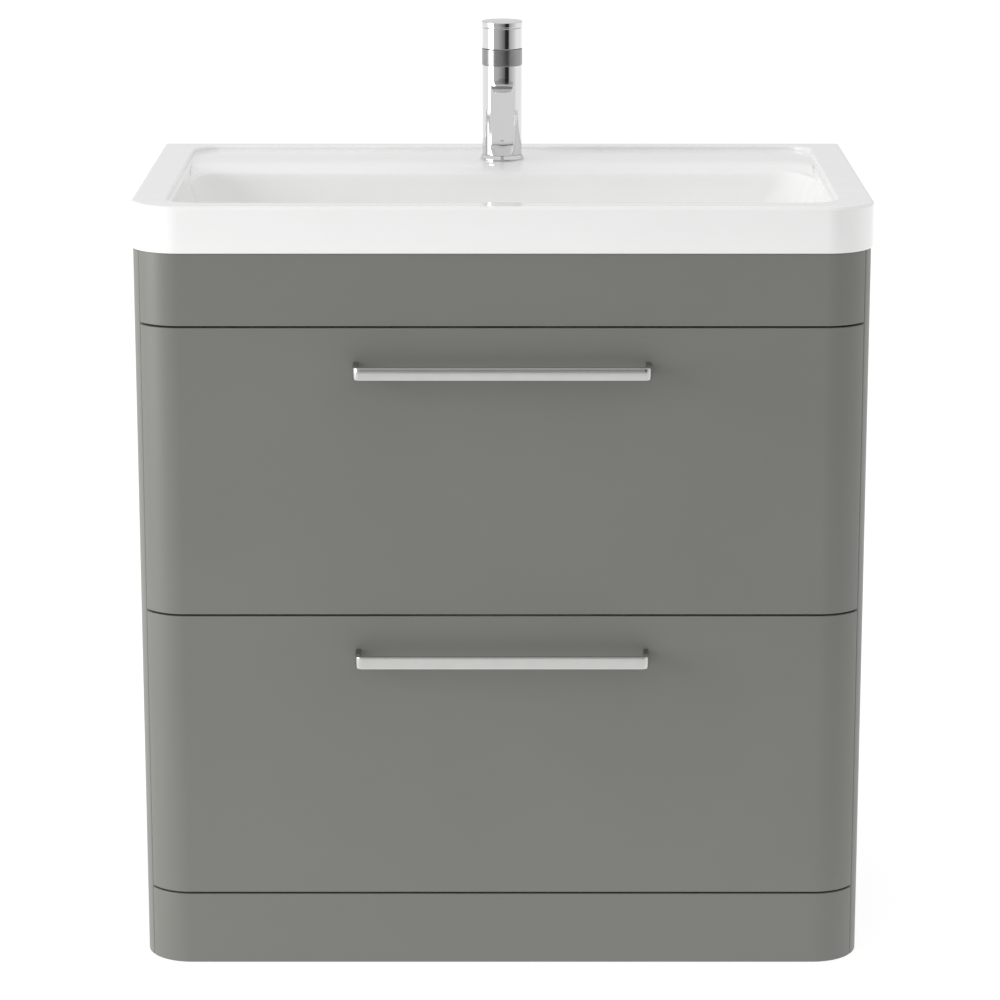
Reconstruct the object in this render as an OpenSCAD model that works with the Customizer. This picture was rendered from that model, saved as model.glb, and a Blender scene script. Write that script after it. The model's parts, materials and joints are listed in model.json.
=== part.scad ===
// Bathroom vanity cabinet: two-drawer unit with curved front corners,
// a ceramic basin on top, a single-hole mixer tap and a bottle trap inside.
// +X is to the right, the front faces -Y, +Z is up. The origin is at floor level,
// in the middle of the whole object's width and depth.

/* [Cabinet] */
// Width of the cabinet
cabinet_w = 800; // [700:10:1000]
// Height of the cabinet without its basin
cabinet_h = 806; // [760:1:850]
// Depth from the flat of the front to the wall
cabinet_d = 467; // [440:1:500]
// Radius of the two front corners, seen from above
corner_r = 52; // [40:1:60]
// Thickness of the painted boards
board_t = 18; // [16:1:19]
// Height of the plinth board
plinth_h = 81; // [70:1:100]
// Height of the fixed board under the basin
fascia_h = 79.4; // [70:0.1:90]
// Gap between one front board and the next
reveal = 2; // [1.5:0.5:3]
// How far the front boards reach back round the corners
wrap_d = 23.8; // [20:0.1:26]

/* [Drawers] */
// Height of the drawer boxes
box_h = 205; // [150:5:215]
// Thickness of the drawer boxes' sides, fronts and backs
box_t = 12; // [12:1:15]
// Thickness of the drawer bottoms
bottom_t = 6; // [6:1:8]
// Length of the drawer runners and of the boxes' sides
runner_l = 400; // [350:50:400]
// Width of the slot that each drawer runner fills
runner_w = 12.7; // [12.5:0.1:13]
// Clear width of the recess that lets the upper drawer pass the trap
recess_w = 210; // [180:10:260]

/* [Handles] */
// Overall length of each handle
handle_l = 322; // [256:1:400]
// How far each handle stands out from its drawer front
handle_reach = 34; // [28:1:40]
// Height of the handle's flat bar
handle_h = 13.6; // [12:0.2:16]
// Thickness of the handle's flat bar
handle_t = 6.4; // [6:0.2:8]
// Distance from the top edge of a drawer front to the middle of its handle
handle_drop = 44; // [35:0.5:80]

/* [Basin] */
// Width of the basin
basin_w = 805; // [705:1:1005]
// Height of the basin above the cabinet
basin_h = 51; // [40:1:60]
// How far the basin stands out past the cabinet's front
basin_proud = 3; // [0:0.5:6]
// Width of the side rims
side_rim = 39.5; // [30:0.5:50]
// Width of the front rim
front_rim = 29; // [25:1:40]
// Width of the back rim
back_rim = 23; // [20:1:40]
// Depth of the step from the rim down to the tap deck
deck_drop = 5; // [3:0.5:8]
// Depth of the tap deck from front to back
deck_d = 131; // [110:1:150]
// Depth of the bowl below the rim
bowl_depth = 117; // [100:1:120]
// Thickness of the ceramic
ceramic_t = 12; // [10:1:14]

/* [Tap] */
// Diameter of the tap's body
tap_d = 46; // [40:1:50]
// Height of the top of the spout above the deck
spout_z = 93; // [85:1:100]
// Reach of the spout from the axis of the body
spout_reach = 122; // [110:1:130]
// Width of the spout
spout_w = 27; // [24:1:30]
// Thickness of the spout
spout_t = 24; // [22:1:26]

/* [Hidden] */

$fn = 64;
eps = 0.01;
air = 0.1;              // gap between a dowel, screw or tube and its hole
y_mid = (cabinet_d - handle_reach) / 2;
left = -1;
right = 1;

paint = [0.47, 0.475, 0.45];
board = [0.86, 0.85, 0.82];
steel = [0.72, 0.73, 0.74];
chrome = [0.80, 0.81, 0.82];
ceramic = [0.96, 0.96, 0.96];
plastic = [0.93, 0.93, 0.93];
brass = [0.78, 0.64, 0.33];
timber = [0.82, 0.70, 0.52];

// Cabinet
inner_half = cabinet_w / 2 - board_t;
side_front_y = wrap_d + 1.2;
fascia_z = cabinet_h - fascia_h;
front_h = (fascia_z - plinth_h - 3 * reveal) / 2;
lower_front_z = plinth_h + reveal;
upper_front_z = lower_front_z + front_h + reveal;
base_t = 16;
front_rail_t = 12;
front_rail_h = 66;
back_rail_h = 80;
back_rail_y = cabinet_d - board_t;
back_panel_t = 8;
back_panel_top = upper_front_z + 18;
block_w = 28;
block_d = 42;
block_h = 56;
block_lift = 4;

// Drawer boxes
box_half = inner_half - runner_w;
box_lift = 22;
box_side_y = 26;
box_back_y = box_side_y + runner_l - box_t;
box_front_t = 15;
bottom_lift = 8;
recess_half = recess_w / 2;
recess_front_y = 132;

// Runners: three C sections, one inside the other, 45 mm high over all
runner_lift = 60;
runner_h = 45;
runner_y = 28;
skin = 1.2;
rail_d = 9.5;
middle_inset = 2.6;
middle_d = 8;
middle_h = 36.4;
slide_d = 7.5;
slide_h = 27;
rail_screw_y = [runner_y + 40, runner_y + 330];
rail_screw_l = 12;
slide_screw_y = [runner_y + 75, runner_y + 300];
slide_screw_l = 10;
screw_r = 1.75;
screw_head_r = 3.5;
screw_head_t = 0.9;

// Dowels between the side panels and what stands between them
dowel_r = 4;
dowel_l = 24;
base_dowel_z = plinth_h - base_t / 2;
back_dowel_y = back_rail_y + board_t / 2;
dowel_places = [
    [80, base_dowel_z], [400, base_dowel_z],
    [back_dowel_y, cabinet_h - 22], [back_dowel_y, cabinet_h - 60]
];

// Wall fixing
wall_hole_r = 3.5;
wall_hole_x = inner_half - 22;
wall_hole_z = cabinet_h - 41;
bracket_w = 36;
bracket_leg = 40;
bracket_t = 2;

// Handles
handle_bend_r = 9;
handle_screw_r = 2;
handle_screw_l = 14;
handle_head_r = 4;
handle_head_t = 3;
handle_screw_x = handle_l / 2 - handle_t / 2;

// Basin
rim_z = cabinet_h + basin_h;
deck_z = rim_z - deck_drop;
basin_half = basin_w / 2;
basin_corner_r = corner_r + basin_proud;
recess_x = basin_half - side_rim;
bowl_front_y = front_rim - basin_proud + 2;
bowl_back_y = cabinet_d - back_rim - deck_d;
recess_back_y = cabinet_d - back_rim;
recess_r = 30;
apron_t = ceramic_t + 3;
bowl_floor_z = rim_z - bowl_depth;
bowl_side_lean = 32;
bowl_front_lean = 36;
bowl_back_lean = 16;
bowl_floor_r = 46;
bowl_lip = 6;
waste_y = (bowl_front_y + bowl_back_y) / 2 + 8;
waste_hole_r = 23;
tap_hole_r = 17.5;

// Tap
tap_y = cabinet_d - back_rim - 65;
tap_r = tap_d / 2;
collar_r = tap_r + 2.2;
collar_h = 5.5;
shank_r = tap_r - 3;
body_h = 110;
trim_over = 0.5;
trim_h = 19;
seam = 0.4;
knob_h = 25;
groove_d = 1.5;
groove_h = 1.2;
cap_over = 0.7;
cap_h = 6.6;
spindle_r = 7;
spindle_grip = 15;
spout_bend_r = 76;
spout_run = spout_reach - spout_bend_r;
spout_low_z = 30;
spout_tip_y = spout_t / 2 + 1 - spout_reach;
aerator_r = 9.2;
aerator_h = 8.4;
aerator_mouth = 2.5;
aerator_drop = 0.5;
port_r = 5;
port_l = 16;
port_x = 9;
port_y = -3;
stud_r = 4;
stud_l = 63;
stud_grip = 13;
stud_y = 10.5;
washer_r = 24;
washer_t = 3;
washer_slot_w = 30;
nut_r = 7.5;
nut_h = 9;

// Waste and trap
waste_r = 22.2;
waste_bore_r = 18;
waste_low_z = bowl_floor_z - 70;
flange_r = 34;
flange_t = 2.6;
guide_w = 6;
guide_h = 4;
guide_z = bowl_floor_z - 34;
plug_r = 30;
plug_dome_r = 80;
plug_t = 6;
plug_z = bowl_floor_z + 3;
stem_r = 4;
stem_l = 47;
waste_nut_r = 31;
waste_nut_h = 10;
trap_nut_r = 29;
trap_nut_h = 22;
trap_nut_floor = 4;
trap_top_z = waste_low_z - trap_nut_floor;
neck_r = 24;
neck_h = 16;
trap_r = 30;
trap_wall = 3;
shell_h = 50;
shell_z = trap_top_z - neck_h - shell_h;
dip_tube_r = 17;
dip_tube_t = 2.5;
dip_tube_l = 30;
pipe_r = 16;
pipe_t = 2;
outlet_z = trap_top_z - 37;
stub_r = 20;
stub_l = 62;
stub_stop = 38;
spigot_r = 15.2;
pipe_gap = 2;
cup_wall = 3.5;
cup_h = 62;
cup_grip = 8;

// Stands a shape drawn from the front's flat and the middle of the width in the shared frame
module placed() translate([0, -y_mid, 0]) children();

// A block between any two opposite corners
module slab(a, b) {
    low = [for (i = [0:2]) min(a[i], b[i])];
    high = [for (i = [0:2]) max(a[i], b[i])];
    translate(low) cube(high - low);
}

// The cabinet seen from above, drawn in by inset, with its two round front corners
module plan(inset = 0, back_y = cabinet_d) {
    half = cabinet_w / 2 - inset;
    r = corner_r - inset;
    translate([-half, corner_r]) square([2 * half, back_y - corner_r]);
    translate([r - half, inset]) square([2 * (half - r), corner_r - inset + 1]);
    for (side = [left, right]) translate([side * (half - r), corner_r]) circle(r, $fn = 96);
}

// A board that wraps round both front corners
module wrap_board(z, h) {
    translate([0, 0, z]) linear_extrude(h) difference() {
        plan();
        plan(board_t, cabinet_d + 1);
        translate([-cabinet_w, wrap_d]) square([2 * cabinet_w, cabinet_d]);
    }
}

// A board whose front corners follow the inside of the wrapped boards
module inside_board(x0, x1, y0, y1, z0, z1) {
    intersection() {
        slab([x0, y0, z0], [x1, y1, z1]);
        translate([0, 0, z0 - 1]) linear_extrude(z1 - z0 + 2) plan(board_t);
    }
}

// A round bar along X
module bar_x(r, x0, x1, y, z) {
    translate([min(x0, x1), y, z]) rotate([0, 90, 0]) cylinder(r = r, h = abs(x1 - x0));
}

// A round bar along Y
module bar_y(r, y0, y1, x, z) {
    translate([x, y1, z]) rotate([90, 0, 0]) cylinder(r = r, h = y1 - y0);
}

// A tube standing on z0
module tube(outer, inner, z0, z1) {
    difference() {
        translate([0, 0, z0]) cylinder(r = outer, h = z1 - z0);
        translate([0, 0, z0 - 1]) cylinder(r = inner, h = z1 - z0 + 2);
    }
}

// ---- Carcass ----

module dowel_set(extra = 0) {
    for (side = [left, right], place = dowel_places) {
        bar_x(dowel_r + extra, side * inner_half - dowel_l / 2 - extra,
            side * inner_half + dowel_l / 2 + extra, place[0], place[1]);
    }
}

function runner_z(front_z) = front_z + box_lift + runner_lift;

module rail_screw_set(side, extra = 0) {
    face = side * inner_half;
    for (front_z = [lower_front_z, upper_front_z], y = rail_screw_y) {
        bar_x(screw_r + extra, face - side * skin, face + side * rail_screw_l, y, runner_z(front_z));
    }
}

module rail_screw_heads(side) {
    face = side * (inner_half - skin);
    for (front_z = [lower_front_z, upper_front_z], y = rail_screw_y) {
        bar_x(screw_head_r, face, face - side * screw_head_t, y, runner_z(front_z));
    }
}

module side_panel(side) {
    color(paint) placed() difference() {
        intersection() {
            linear_extrude(cabinet_h) plan();
            slab([side * inner_half, side_front_y, -1],
                [side * cabinet_w, cabinet_d + 1, cabinet_h + 1]);
        }
        dowel_set(air);
        rail_screw_set(side, air);
    }
}

module side_panel_left() side_panel(left);

module side_panel_right() side_panel(right);

module base_panel() {
    color(board) placed() difference() {
        inside_board(-inner_half, inner_half, board_t, cabinet_d - back_panel_t,
            plinth_h - base_t, plinth_h);
        dowel_set(air);
    }
}

module plinth_board() color(paint) placed() wrap_board(0, plinth_h);

module front_fascia() color(paint) placed() wrap_board(fascia_z, fascia_h);

module top_front_rail() {
    color(board) placed() inside_board(-inner_half + block_w, inner_half - block_w, board_t,
        board_t + front_rail_t, cabinet_h - front_rail_h, cabinet_h);
}

module wall_holes() {
    for (side = [left, right]) {
        bar_y(wall_hole_r, back_rail_y - bracket_t - 1, cabinet_d + 1, side * wall_hole_x, wall_hole_z);
    }
}

module top_back_rail() {
    color(board) placed() difference() {
        slab([-inner_half, back_rail_y, cabinet_h - back_rail_h], [inner_half, cabinet_d, cabinet_h]);
        dowel_set(air);
        wall_holes();
    }
}

module back_panel() {
    color(board) placed() slab([-inner_half, cabinet_d - back_panel_t, plinth_h - base_t],
        [inner_half, cabinet_d, back_panel_top]);
}

// Glue blocks behind the ends of the fascia and the plinth
module corner_blocks() {
    color(timber) placed()
        for (side = [left, right], z = [block_lift, cabinet_h - block_h - block_lift]) {
            inside_board(side * (inner_half - block_w), side * inner_half,
                board_t, board_t + block_d, z, z + block_h);
        }
}

module carcass_dowels() color(timber) placed() dowel_set();

// Two angle brackets between the side panels and the back rail
module wall_brackets() {
    low_z = wall_hole_z - bracket_w / 2;
    high_z = wall_hole_z + bracket_w / 2;
    color(steel) placed() difference() {
        for (side = [left, right]) {
            slab([side * (inner_half - bracket_leg), back_rail_y - bracket_t, low_z],
                [side * inner_half, back_rail_y, high_z]);
            slab([side * (inner_half - bracket_t), back_rail_y - bracket_leg, low_z],
                [side * inner_half, back_rail_y - bracket_t + eps, high_z]);
        }
        wall_holes();
    }
}

// ---- Runners ----

// A C section along Y, inset from the face of the side panel
module channel(side, inset, depth, h, z, opens_in = true) {
    web = opens_in ? inset : inset + depth - skin;
    module strip(u0, u1, v0, v1) {
        slab([side * (inner_half - u0), runner_y, z + v0],
            [side * (inner_half - u1), runner_y + runner_l, z + v1]);
    }
    strip(web, web + skin, -h / 2, h / 2);
    strip(inset, inset + depth, h / 2 - skin, h / 2);
    strip(inset, inset + depth, -h / 2, skin - h / 2);
}

module rail(side, front_z) {
    color(steel) placed() difference() {
        channel(side, 0, rail_d, runner_h, runner_z(front_z));
        rail_screw_set(side, air);
    }
}

module middle_rail(side, front_z) {
    color(steel) placed() channel(side, middle_inset, middle_d, middle_h, runner_z(front_z));
}

module slide_screws(side, front_z, extra = 0) {
    web = side * (inner_half - runner_w + skin);
    for (y = slide_screw_y) {
        bar_x(screw_r + extra, web, web - side * (skin + slide_screw_l), y, runner_z(front_z));
    }
}

module slide_screw_heads(side, front_z) {
    web = side * (inner_half - runner_w + skin);
    for (y = slide_screw_y) bar_x(screw_head_r, web, web + side * screw_head_t, y, runner_z(front_z));
}

module drawer_slide(side, front_z) {
    color(steel) placed() difference() {
        channel(side, runner_w - slide_d, slide_d, slide_h, runner_z(front_z), false);
        slide_screws(side, front_z, air);
    }
}

module runner_screws() {
    color(steel) placed() for (side = [left, right]) {
        rail_screw_set(side);
        rail_screw_heads(side);
    }
}

module upper_left_rail() rail(left, upper_front_z);

module upper_right_rail() rail(right, upper_front_z);

module lower_left_rail() rail(left, lower_front_z);

module lower_right_rail() rail(right, lower_front_z);

module upper_left_middle() middle_rail(left, upper_front_z);

module upper_right_middle() middle_rail(right, upper_front_z);

module lower_left_middle() middle_rail(left, lower_front_z);

module lower_right_middle() middle_rail(right, lower_front_z);

module upper_left_slide() drawer_slide(left, upper_front_z);

module upper_right_slide() drawer_slide(right, upper_front_z);

module lower_left_slide() drawer_slide(left, lower_front_z);

module lower_right_slide() drawer_slide(right, lower_front_z);

// ---- Drawers ----

function handle_z(front_z) = front_z + front_h - handle_drop;

module handle_screw_set(front_z, extra = 0) {
    for (side = [left, right]) {
        bar_y(handle_screw_r + extra, -handle_screw_l - extra, board_t,
            side * handle_screw_x, handle_z(front_z));
    }
}

module drawer_front(front_z) {
    color(paint) placed() difference() {
        wrap_board(front_z, front_h);
        handle_screw_set(front_z, air);
    }
}

module box_front(front_z) {
    z = front_z + box_lift;
    color(board) placed() inside_board(box_t - box_half, box_half - box_t,
        board_t, board_t + box_front_t, z, z + box_h);
}

module box_side(side, front_z) {
    z = front_z + box_lift;
    color(board) placed() difference() {
        slab([side * (box_half - box_t), box_side_y, z],
            [side * box_half, box_side_y + runner_l, z + box_h]);
        slide_screws(side, front_z, air);
    }
}

module box_back(x0, x1, front_z) {
    z = front_z + box_lift;
    color(board) placed() slab([x0, box_back_y, z], [x1, box_back_y + box_t, z + box_h]);
}

module box_bottom(front_z, recess = false) {
    z = front_z + box_lift + bottom_lift;
    color(board) placed() difference() {
        slab([box_t - box_half, board_t + box_front_t, z], [box_half - box_t, box_back_y, z + bottom_t]);
        if (recess) {
            slab([-recess_half - box_t, recess_front_y - box_t, z - 1],
                [recess_half + box_t, box_back_y + 1, z + bottom_t + 1]);
        }
    }
}

// Handle screws, and the screws that hold the two drawer members of the runners
module drawer_screws(front_z) {
    color(steel) placed() {
        handle_screw_set(front_z);
        for (side = [left, right]) {
            bar_y(handle_head_r, board_t, board_t + handle_head_t,
                side * handle_screw_x, handle_z(front_z));
            slide_screws(side, front_z);
            slide_screw_heads(side, front_z);
        }
    }
}

// A flat bar bent back at both ends to meet the drawer front
module handle(front_z) {
    color(chrome) placed() difference() {
        translate([0, -handle_reach, handle_z(front_z) - handle_h / 2])
            linear_extrude(handle_h) difference() {
                bow(handle_l / 2, 0, handle_bend_r);
                bow(handle_l / 2 - handle_t, handle_t, handle_bend_r - handle_t);
            }
        handle_screw_set(front_z, air);
    }
}

// Outline of a bow handle seen from above, with its front corners rounded
module bow(half, y, r) {
    translate([-half, y + r]) square([2 * half, handle_reach - y - r + (y > 0 ? 1 : 0)]);
    translate([r - half, y]) square([2 * (half - r), r + 1]);
    for (side = [left, right]) translate([side * (half - r), y + r]) circle(r, $fn = 48);
}

module upper_drawer_front() drawer_front(upper_front_z);

module upper_box_front() box_front(upper_front_z);

module upper_box_side_left() box_side(left, upper_front_z);

module upper_box_side_right() box_side(right, upper_front_z);

module upper_box_back_left() box_back(box_t - box_half, -recess_half - box_t, upper_front_z);

module upper_box_back_right() box_back(recess_half + box_t, box_half - box_t, upper_front_z);

module recess_side(side) {
    z = upper_front_z + box_lift;
    color(board) placed() slab([side * recess_half, recess_front_y, z],
        [side * (recess_half + box_t), box_back_y + box_t, z + box_h]);
}

module upper_recess_side_left() recess_side(left);

module upper_recess_side_right() recess_side(right);

module upper_recess_end() {
    z = upper_front_z + box_lift;
    color(board) placed() slab([-recess_half - box_t, recess_front_y - box_t, z],
        [recess_half + box_t, recess_front_y, z + box_h]);
}

module upper_box_bottom() box_bottom(upper_front_z, true);

module upper_drawer_screws() drawer_screws(upper_front_z);

module upper_handle() handle(upper_front_z);

module lower_drawer_front() drawer_front(lower_front_z);

module lower_box_front() box_front(lower_front_z);

module lower_box_side_left() box_side(left, lower_front_z);

module lower_box_side_right() box_side(right, lower_front_z);

module lower_box_back() box_back(box_t - box_half, box_half - box_t, lower_front_z);

module lower_box_bottom() box_bottom(lower_front_z);

module lower_drawer_screws() drawer_screws(lower_front_z);

module lower_handle() handle(lower_front_z);

// ---- Basin ----

// The basin seen from above, drawn in by inset
module basin_plan(inset = 0) {
    half = basin_half - inset;
    r = basin_corner_r - inset;
    front_y = inset - basin_proud;
    translate([-half, front_y + r]) square([2 * half, cabinet_d - inset - front_y - r]);
    translate([r - half, front_y]) square([2 * (half - r), r + 1]);
    for (side = [left, right]) translate([side * (half - r), front_y + r]) circle(r, $fn = 96);
}

// A rectangle with four round corners
module round_rect(half, y0, y1, r) {
    translate([-half, y0 + r]) square([2 * half, y1 - y0 - 2 * r]);
    translate([r - half, y0]) square([2 * (half - r), y1 - y0]);
    for (side = [left, right], y = [y0 + r, y1 - r]) translate([side * (half - r), y]) circle(r);
}

// The bowl, grown by grow: a rectangle at the rim that leans in to a rounded floor
module bowl(grow = 0, top_z = rim_z) {
    r = recess_r + grow;
    floor_r = bowl_floor_r + grow;
    hull() {
        for (side = [left, right]) {
            for (y = [bowl_front_y - grow + r, bowl_back_y + grow - r]) {
                translate([side * (recess_x + grow - r), y, top_z - 1]) cylinder(r = r, h = 1, $fn = 32);
            }
            for (y = [bowl_front_y + bowl_front_lean - grow + floor_r,
                    bowl_back_y - bowl_back_lean + grow - floor_r]) {
                translate([side * (recess_x - bowl_side_lean + grow - floor_r), y,
                    bowl_floor_z - grow + floor_r]) sphere(r = floor_r, $fn = 32);
            }
        }
    }
}

module basin() {
    color(ceramic) placed() difference() {
        union() {
            difference() {
                translate([0, 0, cabinet_h]) linear_extrude(basin_h) basin_plan();
                translate([0, 0, cabinet_h - 1]) linear_extrude(basin_h - ceramic_t - deck_drop + 1)
                    basin_plan(apron_t);
            }
            bowl(ceramic_t, rim_z - bowl_lip);
        }
        translate([0, 0, deck_z]) linear_extrude(deck_drop + 1)
            round_rect(recess_x, bowl_front_y, recess_back_y, recess_r);
        bowl(0, rim_z + 1);
        translate([0, tap_y, cabinet_h]) cylinder(r = tap_hole_r, h = basin_h);
        translate([0, waste_y, bowl_floor_z - ceramic_t - 1]) cylinder(r = waste_hole_r, h = ceramic_t + 2);
        translate([0, waste_y, bowl_floor_z]) cylinder(r = flange_r + air, h = 1);
    }
}

// ---- Tap ----

module at_tap() placed() translate([0, tap_y, deck_z]) children();

module tap_base_ring() color(chrome) at_tap() tube(collar_r, shank_r, 0, collar_h);

// The spout: a flat-sided bar that leaves the body level and bends down to the outlet
module spout() {
    rotate([90, 0, -90]) linear_extrude(spout_w, center = true) difference() {
        union() {
            translate([0, spout_z - spout_bend_r]) square([spout_run, spout_bend_r]);
            intersection() {
                translate([spout_run, spout_z - spout_bend_r]) circle(spout_bend_r, $fn = 128);
                translate([spout_run - 1, 0]) square([spout_reach, spout_z]);
            }
        }
        translate([spout_run, spout_z - spout_bend_r]) circle(spout_bend_r - spout_t, $fn = 128);
        translate([-1, -1]) square([spout_run + 1, spout_z - spout_t + 1]);
        translate([-1, -1]) square([spout_reach + 2, spout_low_z + 1]);
    }
}

module tap_body() {
    color(chrome) at_tap() difference() {
        union() {
            translate([0, 0, collar_h]) cylinder(r = tap_r, h = body_h - collar_h);
            cylinder(r = shank_r - air, h = collar_h + 1);
            spout();
        }
        for (side = [left, right]) {
            translate([side * port_x, port_y, -1]) cylinder(r = port_r, h = port_l + 1);
        }
        translate([0, stud_y, -1]) cylinder(r = stud_r + air, h = stud_grip + 2);
        translate([0, spout_tip_y, spout_low_z - 1]) cylinder(r = aerator_r + air, h = aerator_h + 1);
        translate([0, 0, body_h - spindle_grip - 5]) cylinder(r = spindle_r + air, h = spindle_grip + 6);
    }
}

module tap_aerator() {
    color(steel) at_tap() translate([0, spout_tip_y, spout_low_z - aerator_drop]) difference() {
        cylinder(r = aerator_r, h = aerator_h);
        translate([0, 0, -1]) cylinder(r = aerator_r - 3, h = aerator_mouth + 1);
    }
}

module tap_trim_ring() {
    color(steel) at_tap() tube(tap_r + trim_over, spindle_r + 1, body_h, body_h + trim_h);
}

// The turning knob on its spindle, with a groove under the disc on top
module tap_handle() {
    color(chrome) at_tap() translate([0, 0, body_h + trim_h + seam]) {
        cylinder(r = tap_r, h = knob_h - groove_h);
        cylinder(r = tap_r - groove_d, h = knob_h);
        translate([0, 0, knob_h - eps]) cylinder(r = tap_r + cap_over, h = cap_h);
        translate([0, 0, -trim_h - spindle_grip]) cylinder(r = spindle_r, h = trim_h + spindle_grip + 1);
    }
}

module tap_stud() {
    color(brass) at_tap() translate([0, stud_y, stud_grip - stud_l]) cylinder(r = stud_r, h = stud_l);
}

// A horseshoe plate under the deck
module tap_washer() {
    color(steel) at_tap() translate([0, 0, -ceramic_t - washer_t]) difference() {
        cylinder(r = washer_r, h = washer_t);
        translate([0, stud_y, -1]) cylinder(r = stud_r + air, h = washer_t + 2);
        slab([-washer_slot_w / 2, -washer_slot_w, -1], [washer_slot_w / 2, stud_r, washer_t + 1]);
    }
}

module tap_nut() {
    color(brass) at_tap() translate([0, stud_y, -ceramic_t - washer_t - nut_h]) difference() {
        cylinder(r = nut_r, h = nut_h, $fn = 6);
        translate([0, 0, -1]) cylinder(r = stud_r + air, h = nut_h + 2);
    }
}

// ---- Waste and trap ----

module at_waste() placed() translate([0, waste_y, 0]) children();

// The waste in the bowl's floor, with a bar across it that guides the stem of the plug
module waste_flange() {
    color(chrome) at_waste() {
        tube(flange_r, waste_bore_r, bowl_floor_z, bowl_floor_z + flange_t);
        tube(waste_r, waste_bore_r, waste_low_z, bowl_floor_z + 1);
        difference() {
            slab([-waste_bore_r - 1, -guide_w / 2, guide_z],
                [waste_bore_r + 1, guide_w / 2, guide_z + guide_h]);
            translate([0, 0, guide_z - 1]) cylinder(r = stem_r + air, h = guide_h + 2);
        }
    }
}

// The plug: a shallow dome on a stem
module waste_plug() {
    color(chrome) at_waste() translate([0, 0, plug_z]) {
        rotate_extrude($fn = 96) intersection() {
            translate([0, plug_t - plug_dome_r]) circle(plug_dome_r, $fn = 180);
            square([plug_r, plug_t]);
        }
        translate([0, 0, -stem_l]) cylinder(r = stem_r, h = stem_l + 1);
    }
}

module waste_nut() {
    color(brass) at_waste() tube(waste_nut_r, waste_r + air,
        bowl_floor_z - ceramic_t - waste_nut_h, bowl_floor_z - ceramic_t);
}

module trap_nut() {
    color(plastic) at_waste() difference() {
        translate([0, 0, trap_top_z]) cylinder(r = trap_nut_r, h = trap_nut_h);
        translate([0, 0, waste_low_z]) cylinder(r = waste_r + air, h = trap_nut_h);
        translate([0, 0, trap_top_z - 1]) cylinder(r = waste_bore_r, h = trap_nut_floor + 2);
    }
}

// The bottle trap: a shell with a dip tube down its middle and an outlet at the back
module trap_body() {
    color(plastic) at_waste() difference() {
        union() {
            translate([0, 0, trap_top_z - neck_h]) cylinder(r = neck_r, h = neck_h);
            translate([0, 0, shell_z]) cylinder(r = trap_r, h = shell_h);
            bar_y(stub_r, 0, stub_l, 0, outlet_z);
            translate([0, 0, shell_z - dip_tube_l]) cylinder(r = dip_tube_r, h = dip_tube_l + 1);
        }
        difference() {
            union() {
                translate([0, 0, shell_z - 1])
                    cylinder(r = trap_r - trap_wall, h = shell_h - trap_wall + 1);
                bar_y(pipe_r - pipe_t, 0, stub_stop + 1, 0, outlet_z);
            }
            translate([0, 0, shell_z - 2]) cylinder(r = dip_tube_r, h = shell_h + 4);
        }
        bar_y(spigot_r + air, stub_stop, stub_l + 1, 0, outlet_z);
        translate([0, 0, shell_z - dip_tube_l - 1])
            cylinder(r = dip_tube_r - dip_tube_t, h = trap_top_z - shell_z + dip_tube_l + 2);
    }
}

// The cup that screws onto the bottom of the trap
module trap_cup() {
    low_z = shell_z - cup_h + cup_grip;
    color(plastic) at_waste() difference() {
        translate([0, 0, low_z]) cylinder(r = trap_r + cup_wall, h = cup_h);
        translate([0, 0, shell_z]) cylinder(r = trap_r + air, h = cup_h);
        translate([0, 0, low_z + trap_wall]) cylinder(r = trap_r - trap_wall, h = cup_h);
    }
}

module trap_outlet_pipe() {
    color(plastic) placed() difference() {
        union() {
            bar_y(spigot_r, waste_y + stub_stop + pipe_gap, cabinet_d, 0, outlet_z);
            bar_y(pipe_r, waste_y + stub_l + pipe_gap, cabinet_d, 0, outlet_z);
        }
        bar_y(pipe_r - pipe_t, waste_y + stub_stop, cabinet_d + 1, 0, outlet_z);
    }
}

side_panel_left();
side_panel_right();
base_panel();
plinth_board();
front_fascia();
top_front_rail();
top_back_rail();
back_panel();
corner_blocks();
carcass_dowels();
wall_brackets();
runner_screws();
upper_left_rail();
upper_right_rail();
lower_left_rail();
lower_right_rail();
upper_left_middle();
upper_right_middle();
lower_left_middle();
lower_right_middle();
upper_left_slide();
upper_right_slide();
lower_left_slide();
lower_right_slide();
upper_drawer_front();
upper_box_front();
upper_box_side_left();
upper_box_side_right();
upper_box_back_left();
upper_box_back_right();
upper_recess_side_left();
upper_recess_side_right();
upper_recess_end();
upper_box_bottom();
upper_drawer_screws();
upper_handle();
lower_drawer_front();
lower_box_front();
lower_box_side_left();
lower_box_side_right();
lower_box_back();
lower_box_bottom();
lower_drawer_screws();
lower_handle();
basin();
tap_base_ring();
tap_body();
tap_trim_ring();
tap_handle();
tap_aerator();
tap_stud();
tap_washer();
tap_nut();
waste_flange();
waste_plug();
waste_nut();
trap_nut();
trap_body();
trap_cup();
trap_outlet_pipe();
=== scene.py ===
import json
import math

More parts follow.
